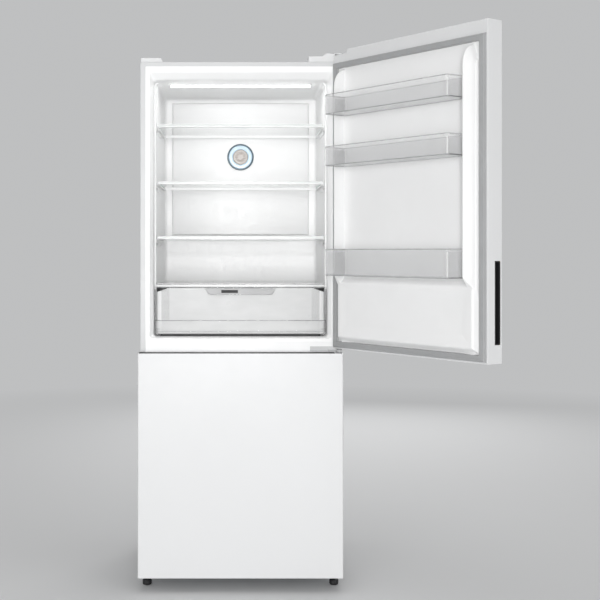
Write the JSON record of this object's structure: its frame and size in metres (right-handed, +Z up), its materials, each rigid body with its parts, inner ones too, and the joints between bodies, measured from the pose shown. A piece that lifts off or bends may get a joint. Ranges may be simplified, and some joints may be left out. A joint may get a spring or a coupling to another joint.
{
  "type": "bottom freezer refrigerator",
  "caption": "Upright white refrigerator with an upper fridge compartment behind a hinged door, glass shelves, door baskets and a crisper, and a freezer with drawers below.",
  "frame": {"origin": "on the floor, below the middle of the whole footprint with the upper door open as at rest; the cabinet's own middle lies 214 mm to -X, and its front plane at Y = -8 mm", "axes": "+Z up, -Y out of the front towards the person who opens the doors, +X to that person's right, which is the hinge side"},
  "size_m": [1.1282, 1.2161, 1.846],
  "materials": {
    "white_steel": "smooth glossy white paint on steel sheet",
    "galvanised_steel": "plain galvanised sheet with a faint spangle",
    "zinc_steel": "zinc-plated pressed steel",
    "foam": "rigid insulating foam, fine cells",
    "liner_plastic": "vacuum-formed white plastic, satin",
    "duct_plastic": "moulded white plastic, soft satin",
    "white_trim": "moulded white plastic, fine texture",
    "gasket_rubber": "soft grey gasket, matt",
    "dark_plastic": "dark moulded plastic",
    "clear_plastic": "clear moulded plastic with a slight grey tint",
    "clear_trim": "clear to milky moulded edge trim",
    "shelf_glass": "toughened glass, polished edge",
    "black_enamel": "black enamel on a steel can",
    "copper_tube": "drawn copper tube",
    "aluminium": "plain fin stock",
    "blue_plastic": "pale blue moulded plastic",
    "lamp_lens": "milky lamp diffuser"
  },
  "bodies": {
    "cabinet": {"cabinet_wrapper": "white_steel", "back_panel": "galvanised_steel", "rear_cover": "galvanised_steel", "base_tray": "galvanised_steel", "cabinet_foam": "foam", "fridge_liner": "liner_plastic", "freezer_liner": "liner_plastic", "cross_rail": "white_steel", "top_hinge_bracket": "zinc_steel", "top_hinge_cover": "white_trim", "top_left_cover": "white_trim", "middle_hinge_bracket": "zinc_steel", "bottom_hinge_bracket": "zinc_steel", "cord_gland": "dark_plastic", "fridge_duct_cover": "duct_plastic", "purifier": "blue_plastic", "ceiling_lamp": "lamp_lens", "crisper_cover_glass": "shelf_glass", "crisper_cover_trim": "clear_trim", "freezer_drawer_upper": "clear_plastic", "freezer_drawer_middle": "clear_plastic", "freezer_drawer_lower": "clear_plastic", "freezer_duct_cover": "duct_plastic", "evaporator": "aluminium", "fan_motor": "black_enamel", "compressor": "black_enamel", "drain_pan": "white_trim", "condenser": "copper_tube"},
    "fridge_door": {"fridge_door_panel": "white_steel", "fridge_door_foam": "foam", "fridge_door_liner": "liner_plastic", "fridge_door_cap_top": "white_trim", "fridge_door_cap_bottom": "white_trim", "fridge_door_gasket": "gasket_rubber", "fridge_door_handle_pocket": "dark_plastic"},
    "freezer_door": {"freezer_door_panel": "white_steel", "freezer_door_foam": "foam", "freezer_door_liner": "liner_plastic", "freezer_door_cap_top": "white_trim", "freezer_door_cap_bottom": "white_trim", "freezer_door_gasket": "gasket_rubber", "freezer_door_handle_pocket": "dark_plastic"},
    "basket_upper": {"door_basket_upper": "clear_plastic"},
    "basket_middle": {"door_basket_middle": "clear_plastic"},
    "basket_lower": {"door_basket_lower": "clear_plastic"},
    "crisper": {"crisper_drawer": "clear_plastic", "crisper_handle_panel": "clear_trim"},
    "humidity_control": {"humidity_slider": "dark_plastic"},
    "shelf_1": {"shelf_1_glass": "shelf_glass", "shelf_1_trim": "clear_trim"},
    "shelf_2": {"shelf_2_glass": "shelf_glass", "shelf_2_trim": "clear_trim"},
    "shelf_3": {"shelf_3_glass": "shelf_glass", "shelf_3_trim": "clear_trim"},
    "evaporator_fan": {"fan_blade": "white_trim"},
    "foot_l": {"foot_left": "dark_plastic"},
    "foot_r": {"foot_right": "dark_plastic"},
    "roller_l": {"roller_left": "dark_plastic"},
    "roller_r": {"roller_right": "dark_plastic"}
  },
  "joints": [
    {"name": "fridge_door_hinge", "type": "hinge", "parent": "cabinet", "child": "fridge_door", "pos_m": [0.126, -0.036, 0.836], "axis": [0, 0, 1], "range_deg": [-125.5, 9.5]},
    {"name": "freezer_door_hinge", "type": "hinge", "parent": "cabinet", "child": "freezer_door", "pos_m": [0.126, -0.036, 0.43], "axis": [0, 0, 1], "range_deg": [0, 135]},
    {"name": "crisper_slide", "type": "slide", "parent": "cabinet", "child": "crisper", "axis": [0, -1, 0], "range_m": [0, 0.25]},
    {"name": "humidity_slide", "type": "slide", "parent": "crisper", "child": "humidity_control", "axis": [1, 0, 0], "range_m": [-0.0125, 0.0125]},
    {"name": "shelf_1_slide", "type": "slide", "parent": "cabinet", "child": "shelf_1", "axis": [0, -1, 0], "range_m": [0, 0.25]},
    {"name": "shelf_2_slide", "type": "slide", "parent": "cabinet", "child": "shelf_2", "axis": [0, -1, 0], "range_m": [0, 0.25]},
    {"name": "shelf_3_slide", "type": "slide", "parent": "cabinet", "child": "shelf_3", "axis": [0, -1, 0], "range_m": [0, 0.25]},
    {"name": "basket_upper_lift", "type": "slide", "parent": "fridge_door", "child": "basket_upper", "axis": [0, 0, 1], "range_m": [0, 0.025]},
    {"name": "basket_middle_lift", "type": "slide", "parent": "fridge_door", "child": "basket_middle", "axis": [0, 0, 1], "range_m": [0, 0.025]},
    {"name": "basket_lower_lift", "type": "slide", "parent": "fridge_door", "child": "basket_lower", "axis": [0, 0, 1], "range_m": [0, 0.025]},
    {"name": "fan_spin", "type": "hinge", "parent": "cabinet", "child": "evaporator_fan", "pos_m": [-0.214, 0.472, 0.61], "axis": [0, 1, 0], "continuous": true},
    {"name": "foot_left_turn", "type": "hinge", "parent": "cabinet", "child": "foot_l", "pos_m": [-0.539, 0.012, 0.01], "axis": [0, 0, 1], "continuous": true},
    {"name": "foot_right_turn", "type": "hinge", "parent": "cabinet", "child": "foot_r", "pos_m": [0.111, 0.012, 0.01], "axis": [0, 0, 1], "continuous": true},
    {"name": "roller_left_spin", "type": "hinge", "parent": "cabinet", "child": "roller_l", "pos_m": [-0.504, 0.552, 0.02], "axis": [1, 0, 0], "continuous": true},
    {"name": "roller_right_spin", "type": "hinge", "parent": "cabinet", "child": "roller_r", "pos_m": [0.076, 0.552, 0.02], "axis": [1, 0, 0], "continuous": true}
  ]
}
